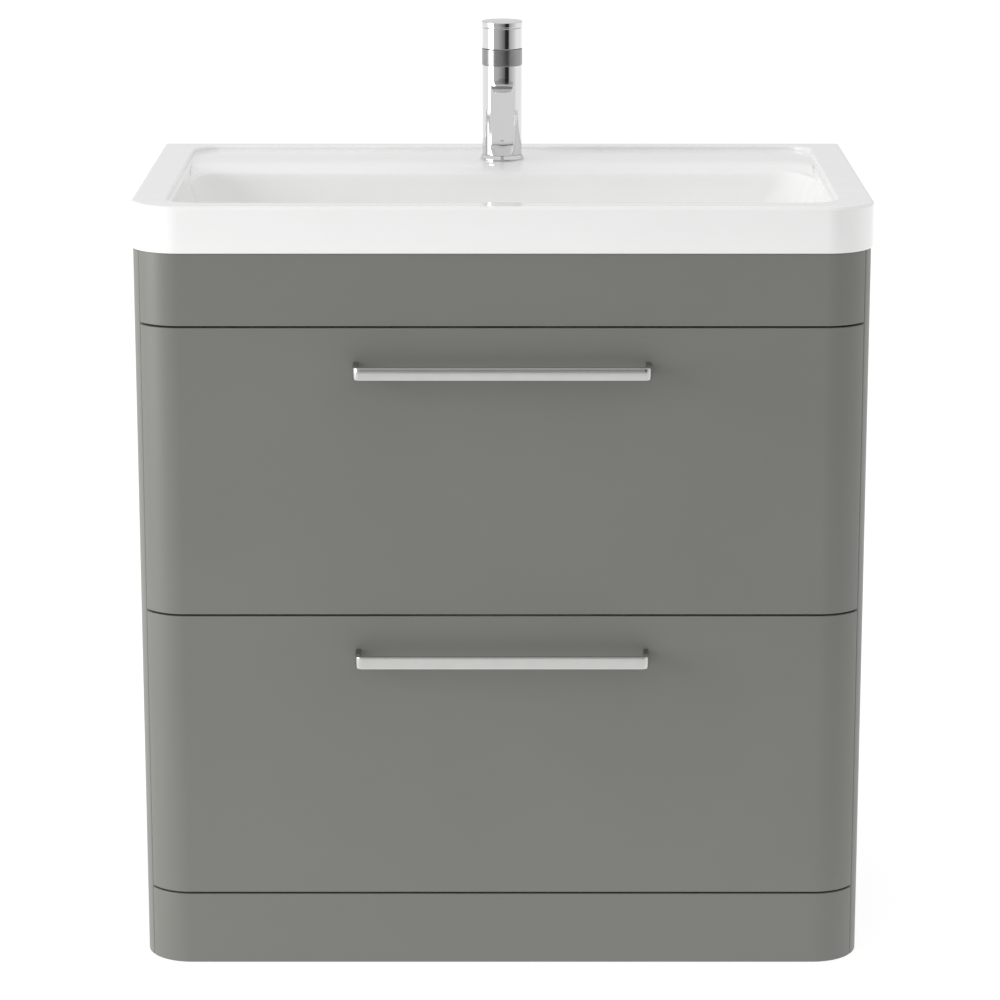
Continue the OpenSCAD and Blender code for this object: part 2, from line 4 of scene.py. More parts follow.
import bmesh
import bpy
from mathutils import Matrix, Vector

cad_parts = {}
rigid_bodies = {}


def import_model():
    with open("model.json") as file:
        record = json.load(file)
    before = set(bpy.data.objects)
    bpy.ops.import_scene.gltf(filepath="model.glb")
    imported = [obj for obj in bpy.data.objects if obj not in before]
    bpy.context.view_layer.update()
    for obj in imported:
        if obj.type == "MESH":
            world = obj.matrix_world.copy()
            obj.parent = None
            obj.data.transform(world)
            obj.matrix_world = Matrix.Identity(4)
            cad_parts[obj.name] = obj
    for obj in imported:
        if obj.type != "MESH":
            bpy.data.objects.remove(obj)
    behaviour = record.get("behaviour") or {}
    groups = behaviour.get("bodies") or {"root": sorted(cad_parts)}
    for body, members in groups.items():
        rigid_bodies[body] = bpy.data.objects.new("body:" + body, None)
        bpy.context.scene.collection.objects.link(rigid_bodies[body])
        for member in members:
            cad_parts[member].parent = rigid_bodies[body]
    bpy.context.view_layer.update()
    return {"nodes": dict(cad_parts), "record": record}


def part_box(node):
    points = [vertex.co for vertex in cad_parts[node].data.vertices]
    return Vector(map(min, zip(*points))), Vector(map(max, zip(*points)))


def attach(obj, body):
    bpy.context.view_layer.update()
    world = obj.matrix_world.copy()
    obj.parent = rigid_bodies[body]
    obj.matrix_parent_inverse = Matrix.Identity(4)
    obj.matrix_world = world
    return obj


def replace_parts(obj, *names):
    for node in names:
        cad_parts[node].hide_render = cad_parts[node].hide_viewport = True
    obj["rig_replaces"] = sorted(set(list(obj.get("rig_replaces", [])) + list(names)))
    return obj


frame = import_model()
scene = bpy.context.scene
MM = 0.001

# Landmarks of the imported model, in metres
FRONT_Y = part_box("upper_drawer_front")[0].y
WALL_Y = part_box("side_panel_left")[1].y
BASIN_LOW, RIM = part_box("basin")
TAP_LOW, TAP_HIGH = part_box("tap_trim_ring")
TAP_X, TAP_Y = 0.0, (TAP_LOW.y + TAP_HIGH.y) / 2
PLUG_LOW, PLUG_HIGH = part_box("waste_plug")
WASTE_Y = (PLUG_LOW.y + PLUG_HIGH.y) / 2
DECK_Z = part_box("tap_base_ring")[0].z


# ---- Shapes ----

STRAIGHT = math.radians(89)  # a corner is left alone when half its angle is more than this
SIDE_SHARE = 0.49  # the most of a side that the rounding of one corner takes


def arc(cx, cy, r, start, end, steps):
    """Points on an arc, in the plane, with angles in degrees."""
    turns = [math.radians(start + (end - start) * i / steps) for i in range(steps + 1)]
    return [(cx + r * math.cos(a), cy + r * math.sin(a)) for a in turns]


def soften(points, radius, steps=4, closed=False):
    """A polyline with its corners rounded. radius is one number, or one for each point."""
    count = len(points)
    radii = radius if isinstance(radius, (list, tuple)) else [radius] * count
    out = []
    for i, p in enumerate(points):
        p = Vector(p)
        if radii[i] <= 0 or (not closed and i in (0, count - 1)):
            out.append(tuple(p))
            continue
        a, b = Vector(points[i - 1]) - p, Vector(points[(i + 1) % count]) - p
        half = a.angle(b) / 2
        if half > STRAIGHT:
            out.append(tuple(p))
            continue
        cut = min(radii[i] / math.tan(half), SIDE_SHARE * a.length, SIDE_SHARE * b.length)
        r = cut * math.tan(half)
        middle = p + (a.normalized() + b.normalized()).normalized() * (r / math.sin(half))
        u, v = p + a.normalized() * cut - middle, p + b.normalized() * cut - middle
        full = u.angle(v)
        for k in range(steps + 1):
            t = k / steps
            turned = (u * math.sin((1 - t) * full) + v * math.sin(t * full)) / math.sin(full)
            out.append(tuple(middle + turned))
    return out


def blend(a, b, t):
    """The value a share t of the way from a to b."""
    return a + (b - a) * t


def crowned_section(back, face, edge, steps):
    """A bar's section from the two corners of its back and the points of its crowned face."""
    radii = [edge] * 3 + [0] * (len(face) - 2) + [edge]
    return soften(back + face, radii, steps, closed=True)


def loft(rings, join=False):
    """A bmesh through closed rings of points. Its two ends are capped, or joined to each other."""
    bm = bmesh.new()
    rows = [[bm.verts.new(p) for p in ring] for ring in rings]
    count = len(rows[0])
    pairs = list(zip(rows, rows[1:]))
    if join:
        pairs.append((rows[-1], rows[0]))
    for low, high in pairs:
        for i in range(count):
            j = (i + 1) % count
            bm.faces.new((low[i], low[j], high[j], high[i]))
    if not join:
        bm.faces.new(rows[0][::-1])
        bm.faces.new(rows[-1])
    bmesh.ops.recalc_face_normals(bm, faces=bm.faces)
    return bm


def lathe(profile, centre, segments=96, axis="Z", ribs=None, closed=False):
    """A turned shape about an axis through centre, from (radius, height) points. A closed profile
    leaves a bore. ribs is (count, depth, lowest, highest): grip ribs between two heights."""
    rings = []
    for r, h in profile:
        ring = []
        for i in range(segments):
            turn = 2 * math.pi * i / segments
            reach = r
            if ribs and ribs[2] < h < ribs[3]:
                reach -= ribs[1] * (0.5 - 0.5 * math.cos(ribs[0] * turn)) ** 2
            x, y = reach * math.cos(turn), reach * math.sin(turn)
            spot = (x, y, h) if axis == "Z" else (x, h, y)
            ring.append(Vector(centre) + Vector(spot))
        rings.append(ring)
    return loft(rings, join=closed)


def prism(outline, low, high, edge, limit=30):
    """An upright block over an outline. Edges sharper than limit degrees are rounded."""
    bm = loft([[(x, y, z) for x, y in outline] for z in (low, high)])
    sharp = [e for e in bm.edges if e.calc_face_angle(0) > math.radians(limit)]
    bmesh.ops.bevel(bm, geom=sharp, offset=edge, segments=3, profile=0.5,
                    affect="EDGES", clamp_overlap=True)
    return bm


def merge(*parts):
    """Several bmeshes as one."""
    whole = bmesh.new()
    for bm in parts:
        mesh = bpy.data.meshes.new("part")
        bm.to_mesh(mesh)
        bm.free()
        whole.from_mesh(mesh)
        bpy.data.meshes.remove(mesh)
    return whole


def piece(name, bm, body, slot, replaces):
    """Puts a finished mesh in the scene in place of one or more nodes of the model."""
    mesh = bpy.data.meshes.new(name)
    bm.to_mesh(mesh)
    bm.free()
    mesh.shade_smooth()
    mesh.materials.append(materials[slot])
    obj = bpy.data.objects.new(name, mesh)
    scene.collection.objects.link(obj)
    obj.modifiers.new("normals", "WEIGHTED_NORMAL").keep_sharp = True
    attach(obj, body)
    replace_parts(obj, *replaces)


def turned(name, profile, radii, centre, body, slot, replaces, **lathe_options):
    """A turned piece whose profile has its corners rounded."""
    piece(name, lathe(soften(profile, radii), centre, **lathe_options), body, slot, replaces)


# ---- Materials ----

NOISE_DETAIL = 3.0
NOISE_LOW, NOISE_HIGH = 0.3, 0.7  # the part of the noise's range that is spread over a material's range


class Material:
    """A Principled material whose colour, roughness and bump vary with noise in the object's space."""

    def __init__(self, slot, colour, roughness, metallic=0.0, **sockets):
        self.slot = slot
        self.material = bpy.data.materials.new(slot + "_finish")
        self.material.use_nodes = True
        self.tree = self.material.node_tree
        self.shader = self.tree.nodes["Principled BSDF"]
        self.shader.inputs["Metallic"].default_value = metallic
        for socket, value in sockets.items():
            self.shader.inputs[socket.replace("_", " ")].default_value = value
        self.coordinates = self.tree.nodes.new("ShaderNodeTexCoord").outputs["Object"]
        self.colour, self.roughness, self.normal = colour, roughness, None

    def node(self, kind, **values):
        node = self.tree.nodes.new(kind)
        for key, value in values.items():
            setattr(node, key, value)
        return node

    def noise(self, scale, stretch=(1, 1, 1)):
        """Noise from 0 to 1, with scale in features a metre."""
        mapping = self.node("ShaderNodeMapping")
        mapping.inputs["Scale"].default_value = stretch
        self.tree.links.new(self.coordinates, mapping.inputs["Vector"])
        noise = self.node("ShaderNodeTexNoise")
        noise.inputs["Scale"].default_value = scale
        noise.inputs["Detail"].default_value = NOISE_DETAIL
        self.tree.links.new(mapping.outputs["Vector"], noise.inputs["Vector"])
        return noise.outputs["Fac"]

    def spread(self, source, low, high):
        """Maps noise onto a range of numbers or colours."""
        ramp = self.node("ShaderNodeMapRange")
        ramp.inputs["From Min"].default_value = NOISE_LOW
        ramp.inputs["From Max"].default_value = NOISE_HIGH
        self.tree.links.new(source, ramp.inputs["Value"])
        if isinstance(low, (int, float)):
            ramp.inputs["To Min"].default_value = low
            ramp.inputs["To Max"].default_value = high
            return ramp.outputs["Result"]
        mix = self.node("ShaderNodeMix", data_type="RGBA")
        factor, first, second, result = mix.inputs[0], mix.inputs[6], mix.inputs[7], mix.outputs[2]
        first.default_value = (*low, 1)
        second.default_value = (*high, 1)
        self.tree.links.new(ramp.outputs["Result"], factor)
        return result

    def tint(self, scale, amount, **noise):
        """Lets the colour drift lighter and darker by a share of itself."""
        low = [value * (1 - amount) for value in self.colour]
        high = [min(1.0, value * (1 + amount)) for value in self.colour]
        source = self.spread(self.noise(scale, **noise), low, high)
        self.tree.links.new(source, self.shader.inputs["Base Color"])
        return self

    def polish(self, scale, amount, **noise):
        """Lets the roughness drift by an amount."""
        low, high = self.roughness - amount, self.roughness + amount
        source = self.spread(self.noise(scale, **noise), low, high)
        self.tree.links.new(source, self.shader.inputs["Roughness"])
        return self

    def bump(self, scale, height, **noise):
        """Adds relief, height metres deep."""
        bump = self.node("ShaderNodeBump")
        bump.inputs["Strength"].default_value = 1.0
        bump.inputs["Distance"].default_value = height
        self.tree.links.new(self.noise(scale, **noise), bump.inputs["Height"])
        if self.normal:
            self.tree.links.new(self.normal, bump.inputs["Normal"])
        self.normal = bump.outputs["Normal"]
        self.tree.links.new(self.normal, self.shader.inputs["Normal"])
        return self


def grain(along, fine):
    """Stretch for noise that runs along one axis."""
    stretch = [1.0, 1.0, 1.0]
    stretch["XYZ".index(along)] = fine
    return stretch


def make_materials():
    """One material for each slot of the model."""
    paint = Material("paint", (0.182, 0.186, 0.167), 0.42)
    paint.tint(6, 0.02).polish(30, 0.02).bump(650, 0.000025).bump(60, 0.00003)
    board = Material("board", (0.80, 0.79, 0.76), 0.5)
    board.tint(500, 0.03, stretch=grain("Y", 0.3)).polish(200, 0.06).bump(900, 0.00004)
    timber = Material("timber", (0.66, 0.50, 0.32), 0.62)
    timber.tint(120, 0.22, stretch=grain("Z", 0.08)).polish(80, 0.06)
    timber.bump(240, 0.0002, stretch=grain("Z", 0.08))
    steel = Material("runner_steel", (0.62, 0.63, 0.64), 0.3, 1.0)
    steel.tint(160, 0.08, stretch=grain("Y", 0.12)).polish(220, 0.07, stretch=grain("Y", 0.05))
    steel.bump(900, 0.00001, stretch=grain("Y", 0.1))
    ceramic = Material("ceramic", (0.93, 0.93, 0.925), 0.1, Coat_Weight=0.6, Coat_Roughness=0.03)
    ceramic.tint(14, 0.008).polish(40, 0.02).bump(16, 0.0003).bump(220, 0.00001)
    handle = Material("handle_metal", (0.63, 0.63, 0.61), 0.16, 1.0)
    handle.tint(60, 0.02).polish(400, 0.03, stretch=grain("X", 0.06))
    handle.bump(500, 0.000006, stretch=grain("X", 0.1))
    chrome = Material("chrome", (0.70, 0.70, 0.70), 0.05, 1.0)
    chrome.tint(30, 0.01).polish(300, 0.015).bump(45, 0.00003)
    satin = Material("satin_steel", (0.30, 0.30, 0.30), 0.2, 1.0)
    satin.tint(100, 0.05).polish(700, 0.05, stretch=grain("Z", 6))
    satin.bump(900, 0.00001, stretch=grain("Z", 5))
    brass = Material("brass", (0.70, 0.55, 0.28), 0.28, 1.0)
    brass.tint(90, 0.1).polish(200, 0.06).bump(500, 0.00002)
    plastic = Material("trap_plastic", (0.88, 0.88, 0.87), 0.3)
    plastic.tint(40, 0.015).polish(120, 0.05).bump(400, 0.00002)
    made = (paint, board, timber, steel, ceramic, handle, chrome, satin, brass, plastic)
    return {m.slot: m.material for m in made}


materials = make_materials()


# ---- Cabinet: painted boards ----

CORNER_R = 52 * MM
BOARD = 18 * MM
PAINT_EDGE = 1.1 * MM
OUTER_STEPS, INNER_STEPS, SIDE_STEPS = 14, 10, 8
SIDE_LIMIT = 40


def wrap_outline(end_y):
    """A board that follows both round corners back to end_y, seen from above."""
    outer_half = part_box("side_panel_right")[1].x
    cx, cy = outer_half - CORNER_R, FRONT_Y + CORNER_R
    inner_r = CORNER_R - BOARD
    outer_turn = math.degrees(math.asin((cy - end_y) / CORNER_R))
    inner_turn = math.degrees(math.asin((cy - end_y) / inner_r))
    return (arc(-cx, cy, CORNER_R, 180 + outer_turn, 270, OUTER_STEPS)
            + arc(cx, cy, CORNER_R, 270, 360 - outer_turn, OUTER_STEPS)
            + arc(cx, cy, inner_r, 360 - inner_turn, 270, INNER_STEPS)
            + arc(-cx, cy, inner_r, 270, 180 + inner_turn, INNER_STEPS))


def build_fronts():
    """The plinth, the two drawer fronts and the fascia, which all curve round to the sides."""
    for node, body in (("plinth_board", "cabinet"), ("front_fascia", "cabinet"),
                       ("lower_drawer_front", "lower_drawer"), ("upper_drawer_front", "upper_drawer")):
        low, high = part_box(node)
        bm = prism(wrap_outline(high.y), low.z, high.z, PAINT_EDGE)
        piece("painted_" + node, bm, body, "paint", [node])


def build_side_panels():
    """The side panels, whose front edges carry on the round corners."""
    for side, node in ((-1, "side_panel_left"), (1, "side_panel_right")):
        low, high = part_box(node)
        outer = max(abs(low.x), abs(high.x))
        inner = min(abs(low.x), abs(high.x))
        cx, cy = outer - CORNER_R, FRONT_Y + CORNER_R
        turn = math.degrees(math.asin((cy - low.y) / CORNER_R))
        outline = arc(cx, cy, CORNER_R, 360 - turn, 360, SIDE_STEPS)
        outline += [(outer, high.y), (inner, high.y), (inner, low.y)]
        outline = [(side * x, y) for x, y in outline]
        if side < 0:
            outline.reverse()
        bm = prism(outline, low.z, high.z, PAINT_EDGE, limit=SIDE_LIMIT)
        piece("painted_" + node, bm, "cabinet", "paint", [node])


build_fronts()
build_side_panels()


# ---- Handles ----

HANDLE_T = 6.4 * MM
HANDLE_BEND = 9 * MM
HANDLE_EDGE = 1.1 * MM
HANDLE_CROWN = 0.38 * MM


def build_handles():
    """Each handle is one flat bar, bent back to the front at both ends, with a crowned face."""
    for node, body in (("lower_handle", "lower_drawer"), ("upper_handle", "upper_drawer")):
        low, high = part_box(node)
        middle_z, half_h = (low.z + high.z) / 2, (high.z - low.z) / 2
        half, front, inset = high.x, low.y, HANDLE_T / 2
        path = [(-half + inset, high.y), (-half + inset, front + inset),
                (half - inset, front + inset), (half - inset, high.y)]
        path = soften(path, HANDLE_BEND - inset, 10)
        heights = [-half_h + k * half_h / 4 for k in range(9)]
        face = [(inset - HANDLE_CROWN * (v / half_h) ** 2, v) for v in heights]
        section = crowned_section([(-inset, half_h), (-inset, -half_h)], face, HANDLE_EDGE, 4)
        rings = []
        for i, p in enumerate(path):
            a, b = Vector(path[max(i - 1, 0)]), Vector(path[min(i + 1, len(path) - 1)])
            along = (b - a).normalized()
            across = Vector((along.y, -along.x))
            rings.append([(p[0] + across.x * u, p[1] + across.y * u, middle_z + v) for u, v in section])
        piece("satin_" + node, loft(rings), body, "handle_metal", [node])


build_handles()


# ---- Basin ----

SIDE_RIM, FRONT_RIM, BACK_RIM = 39.5 * MM, 29 * MM, 23 * MM
BASIN_CORNER = 55 * MM
APRON = 15 * MM
CERAMIC = 12 * MM
RIM_EDGE = 5.5 * MM
LIP_EDGE = 3.5 * MM
RECESS_R = 30 * MM
FLOOR_R = 46 * MM
FLOOR_Z = RIM.z - 117 * MM
SIDE_LEAN, FRONT_LEAN, BACK_LEAN = 32 * MM, 36 * MM, 16 * MM
RECESS_HALF = RIM.x - SIDE_RIM
RECESS_FRONT = BASIN_LOW.y + FRONT_RIM + 2 * MM
RECESS_BACK = WALL_Y - BACK_RIM
TAP_DECK = 131 * MM
LIP_BACK = RECESS_BACK - TAP_DECK
WASTE_HOLE = 23 * MM
BACK_CORNER = 3 * MM

# The deck falls towards the bowl, then turns over a shoulder into it
SLOPE_RUN, SLOPE_DROP = 60 * MM, 5 * MM
SHOULDER_FRONT_R, SHOULDER_R = RECESS_R + 2 * MM, 44 * MM
SHOULDER_DROP = 8 * MM
SHOULDER_ROUND, SHOULDER_FALL = 5 * MM, 6 * MM

# Where, from LIP_BACK, a ring's height changes from the front's to the back's
DECK_EASE, SHOULDER_EASE = (-20 * MM, 6 * MM), (-40 * MM, -10 * MM)

# Corner radii of the bowl, seen from above
BOWL_FLOOR_R = 26 * MM
UNDER_FLOOR_R, UNDER_TURN_R, UNDER_WALL_R = 16 * MM, 24 * MM, 30 * MM

CORNER_STEPS, EDGE_STEPS = 12, 16
DECK_STEPS = 14


def plan_ring(half, front, back, front_r, back_r, height):
    """A rounded rectangle as a ring of points. height is a number or a function of y."""
    points = []
    corners = ((half - front_r, front + front_r, front_r, -90),
               (half - back_r, back - back_r, back_r, 0),
               (-half + back_r, back - back_r, back_r, 90),
               (-half + front_r, front + front_r, front_r, 180))
    turns = [arc(cx, cy, r, start, start + 90, CORNER_STEPS) for cx, cy, r, start in corners]
    for i, turn in enumerate(turns):
        (x, y), (next_x, next_y) = turn[-1], turns[(i + 1) % 4][0]
        points += turn
        points += [(blend(x, next_x, k / EDGE_STEPS), blend(y, next_y, k / EDGE_STEPS))
                   for k in range(1, EDGE_STEPS)]
    return [(x, y, height(y) if callable(height) else height) for x, y in points]


def wall_at(z, rim, centre, r):
    """How far out a leaning wall is at a height: straight from the rim, then round to the floor."""
    centre_z = FLOOR_Z + FLOOR_R
    dx, dz = centre - rim, centre_z - RIM.z
    reach = math.hypot(dx, dz)
    sign = 1 if rim > centre else -1
    aim = math.atan2(dz, -abs(dx)) + math.asin(r / reach)
    length = math.sqrt(reach ** 2 - r ** 2)
    touch_x = rim + sign * length * math.cos(aim)
    touch_z = RIM.z + length * math.sin(aim)
    if z > touch_z:
        return rim + (touch_x - rim) * (RIM.z - z) / (RIM.z - touch_z)
    return centre + sign * math.sqrt(max(r * r - (centre_z - z) ** 2, 0))


def bowl_ring(z, grow, corner_r):
    """The bowl's outline at a height, grown by grow, as plan_ring takes it."""
    walls = ((RECESS_HALF, RECESS_HALF - SIDE_LEAN - FLOOR_R),
             (RECESS_FRONT, RECESS_FRONT + FRONT_LEAN + FLOOR_R),
             (LIP_BACK, LIP_BACK - BACK_LEAN - FLOOR_R))
    side, front, back = [wall_at(z, rim, centre, FLOOR_R) for rim, centre in walls]
    return side + grow, front - grow, back + grow, corner_r + grow, corner_r + grow


def eased_height(front_z, back_z, ease):
    """A height that eases from front_z to back_z over a range of y."""
    near, far = ease

    def height(y):
        share = min(max((y - LIP_BACK - near) / (far - near), 0), 1)
        return blend(front_z, back_z, share * share * (3 - 2 * share))

    return height


def underside_rings(hole):
    """From under the waste hole, out along the bowl's underside and up its wall."""
    under_floor = FLOOR_Z - CERAMIC
    rings = [plan_ring(*hole, under_floor)]
    foot = bowl_ring(FLOOR_Z, 0, UNDER_FLOOR_R)
    for t in (0.15, 0.45, 0.75, 1.0):
        rings.append(plan_ring(*[blend(a, b, t) for a, b in zip(hole, foot)], under_floor))
    for turn in (75, 60, 45, 30, 15):
        angle = math.radians(turn)
        z = FLOOR_Z + FLOOR_R * (1 - math.sin(angle))
        shape = bowl_ring(z, CERAMIC * math.cos(angle), UNDER_TURN_R)
        rings.append(plan_ring(*shape, z - CERAMIC * math.sin(angle)))
    for t in (0.1, 0.5, 0.95):
        z = blend(FLOOR_Z + FLOOR_R, DECK_Z - CERAMIC, t)
        rings.append(plan_ring(*bowl_ring(z, CERAMIC, UNDER_WALL_R), z))
    return rings


def rim_rings():
    """Round the outside of the apron, over the rim and down the step to the deck."""
    under_z = DECK_Z - CERAMIC
    foot_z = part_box("front_fascia")[1].z
    wall = soften([(APRON + 7 * MM, under_z), (APRON, under_z), (APRON, foot_z), (0, foot_z), (0, RIM.z),
                   (10 * MM, RIM.z)],
                  [0, 6 * MM, 1.5 * MM, 2 * MM, RIM_EDGE, 0], 5)
    rings = [plan_ring(RIM.x - inset, BASIN_LOW.y + inset, RIM.y - inset, BASIN_CORNER - inset,
                       max(BACK_CORNER - inset, 0.8 * MM), z)
             for inset, z in wall]
    rings += [plan_ring(RECESS_HALF - inset, RECESS_FRONT + inset, RECESS_BACK - inset,
                        RECESS_R - inset, RECESS_R - inset, z)
              for inset, z in lip_profile()]
    return rings


def lip_profile():
    """The step from the rim to the deck, as insets and heights."""
    return soften([(-8 * MM, RIM.z), (0, RIM.z), (0.4 * MM, DECK_Z), (8 * MM, DECK_Z)],
                  [0, LIP_EDGE, 1.6 * MM, 0], 5)[:-1]


def deck_rings():
    """Across the deck and over the shoulder. The back edge runs forward over the deck, while the
    sides and the front start down the bowl's wall."""
    rings = []
    start = lip_profile()[-1][0]
    for k in range(1, DECK_STEPS + 1):
        t = k / DECK_STEPS
        inset = start * (1 - t)
        back_y = blend(RECESS_BACK - start, LIP_BACK + SHOULDER_ROUND, t)
        side_z = blend(DECK_Z, DECK_Z - SHOULDER_DROP, t)
        fall = max(0.0, (LIP_BACK + SLOPE_RUN - back_y) / SLOPE_RUN)
        height = eased_height(side_z, DECK_Z - SLOPE_DROP * fall ** 3, DECK_EASE)
        half_x, front_y = bowl_ring(side_z, 0, RECESS_R)[:2]
        rings.append(plan_ring(half_x - inset, front_y + inset, back_y,
                               blend(RECESS_R, SHOULDER_FRONT_R, t), blend(RECESS_R, SHOULDER_R, t), height))
    for turn in (25, 50, 75):
        angle = math.radians(turn)
        side_z = DECK_Z - SHOULDER_DROP - turn / 15 * MM  # 1 mm down for every 15 degrees
        half_x, front_y, back_rim = bowl_ring(side_z, 0, RECESS_R)[:3]
        back_y = back_rim + SHOULDER_ROUND * (1 - math.sin(angle))
        deck_z = DECK_Z - SLOPE_DROP - SHOULDER_FALL * (1 - math.cos(angle))
        height = eased_height(side_z, deck_z, SHOULDER_EASE)
        rings.append(plan_ring(half_x, front_y, back_y, SHOULDER_FRONT_R, SHOULDER_R, height))
    return rings


def bowl_rings(hole):
    """Down the bowl's wall, round to its floor and in to the waste hole."""
    rings = []
    for t in (0.12, 0.3, 0.5, 0.7, 0.9):
        z = blend(DECK_Z - 10 * MM, FLOOR_Z + FLOOR_R, t)
        rings.append(plan_ring(*bowl_ring(z, 0, blend(SHOULDER_R, FLOOR_R, t)), z))
    for turn in (4, 14, 24, 34, 44, 54, 64, 74, 84):
        angle = math.radians(turn)
        z = FLOOR_Z + FLOOR_R * (1 - math.sin(angle))
        rings.append(plan_ring(*bowl_ring(z, 0, max(FLOOR_R * math.cos(angle), BOWL_FLOOR_R)), z))
    floor = bowl_ring(FLOOR_Z, 0, BOWL_FLOOR_R)
    for t in (0.04, 0.25, 0.5, 0.75, 0.92, 1.0):
        rings.append(plan_ring(*[blend(a, b, t) for a, b in zip(floor, hole)], FLOOR_Z))
    return rings


def build_basin():
    """The basin as one closed skin, from ring to ring."""
    hole = (WASTE_HOLE, WASTE_Y - WASTE_HOLE, WASTE_Y + WASTE_HOLE, WASTE_HOLE, WASTE_HOLE)
    rings = underside_rings(hole) + rim_rings() + deck_rings() + bowl_rings(hole)
    piece("glazed_basin", loft(rings, join=True), "cabinet", "ceramic", ["basin"])


build_basin()


# ---- Tap ----

TAP_AXIS = (TAP_X, TAP_Y, 0)
TAP_R = 23 * MM
TAP_FOOT_R = TAP_R - 3.2 * MM
SPINDLE_R, SOCKET_R, SOCKET_DEPTH = 7 * MM, 7.4 * MM, 2 * MM
TAP_SEGMENTS = 128
SPOUT_LOW = 30 * MM
SPOUT_TOP = 93 * MM
SPOUT_W, SPOUT_T = 27 * MM, 24 * MM
SPOUT_BEND = 76 * MM
SPOUT_EDGE = 2.2 * MM
SPOUT_CROWN = 1.2 * MM
SPOUT_STEPS = 28


def spout():
    """A flat-sided bar that leaves the body level and bends down to a level mouth."""
    reach = TAP_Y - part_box("tap_body")[0].y
    run = reach - SPOUT_BEND
    centre_z = DECK_Z + SPOUT_TOP - SPOUT_BEND
    mouth = DECK_Z + SPOUT_LOW - centre_z
    face = [(SPOUT_W / 2 * t, SPOUT_T - SPOUT_CROWN * t * t)
            for t in (1, 0.75, 0.5, 0.25, 0, -0.25, -0.5, -0.75, -1)]
    section = crowned_section([(-SPOUT_W / 2, 0), (SPOUT_W / 2, 0)], face, SPOUT_EDGE, 5)
    rings = [[(x, TAP_Y - away, DECK_Z + SPOUT_TOP - SPOUT_T + v) for x, v in section]
             for away in (2 * MM, run * 0.5, run)]
    for k in range(1, SPOUT_STEPS + 1):
        ring = []
        for x, v in section:
            ray = SPOUT_BEND - SPOUT_T + v
            angle = blend(math.pi / 2, math.asin(mouth / ray), k / SPOUT_STEPS)
            ring.append((x, TAP_Y - run - ray * math.cos(angle), centre_z + ray * math.sin(angle)))
        rings.append(ring)

    # The recess in the mouth that holds the aerator
    low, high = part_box("tap_aerator")
    middle = Vector((0.0, (low.y + high.y) / 2))
    bore = (high.x - low.x) / 2 + 0.1 * MM
    outline = rings[-1]
    for r, depth in ((bore + 0.5 * MM, 0), (bore, 0.4 * MM), (bore, 6 * MM)):
        around = [middle + (Vector((x, y)) - middle).normalized() * r for x, y, _ in outline]
        rings.append([(x, y, DECK_Z + SPOUT_LOW + depth) for x, y in around])
    return loft(rings)


def build_tap():
    """The body with its spout, the collar at its foot, the trim ring and the knob."""
    ring_low, ring_high, ring_r = TAP_LOW.z, TAP_HIGH.z, TAP_HIGH.x
    collar_low, collar_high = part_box("tap_base_ring")
    knob_low, knob_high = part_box("tap_handle")

    socket_low = knob_low.z - SOCKET_DEPTH
    profile = [(2 * MM, DECK_Z), (TAP_FOOT_R, DECK_Z), (TAP_FOOT_R, DECK_Z + 5 * MM),
               (TAP_R, DECK_Z + 5.5 * MM), (TAP_R, ring_low), (SOCKET_R, ring_low),
               (SOCKET_R, socket_low), (2 * MM, socket_low)]
    radii = [0, 0.5 * MM, 0.5 * MM, 0.8 * MM, 0.5 * MM, 0.3 * MM, 0, 0]
    body = lathe(soften(profile, radii, 3), TAP_AXIS, TAP_SEGMENTS)
    piece("polished_tap_body", merge(body, spout()), "cabinet", "chrome", ["tap_body"])

    r, low, high = collar_high.x, collar_low.z, collar_high.z
    turned("flared_tap_base_ring",
           [(20 * MM, low), (r, low), (r, low + 1.6 * MM), (r - 1.2 * MM, high - 1.6 * MM),
            (TAP_R + 0.3 * MM, high), (20 * MM, high)],
           [0, 0.4 * MM, 1.2 * MM, 1.6 * MM, 0.3 * MM, 0],
           TAP_AXIS, "cabinet", "chrome", ["tap_base_ring"], segments=TAP_SEGMENTS, closed=True)

    turned("satin_tap_trim_ring",
           [(8 * MM, ring_low), (ring_r, ring_low), (ring_r, ring_high), (8 * MM, ring_high)],
           [0, 0.7 * MM, 0.7 * MM, 0],
           TAP_AXIS, "cabinet", "satin_steel", ["tap_trim_ring"], segments=TAP_SEGMENTS, closed=True)

    # The knob on its spindle, with a groove under its cap
    top, cap_r = knob_high.z, knob_high.x
    cap_low, groove_r = top - 6.6 * MM, TAP_R - 1.5 * MM
    seam = ring_high + 0.4 * MM
    turned("polished_tap_handle",
           [(2 * MM, knob_low.z), (SPINDLE_R, knob_low.z), (SPINDLE_R, seam), (TAP_R, seam),
            (TAP_R, cap_low - 1.6 * MM), (groove_r, cap_low - 1.2 * MM), (groove_r, cap_low),
            (cap_r, cap_low), (cap_r, top - 0.3 * MM), (cap_r * 0.5, top), (0.3 * MM, top)],
           [0, 0.3 * MM, 0, 0.5 * MM, 0.5 * MM, 0.3 * MM, 0.2 * MM, 0.6 * MM, 1.3 * MM, 4 * MM, 0],
           TAP_AXIS, "tap_knob", "chrome", ["tap_handle"], segments=TAP_SEGMENTS)


build_tap()


# ---- Waste and trap ----

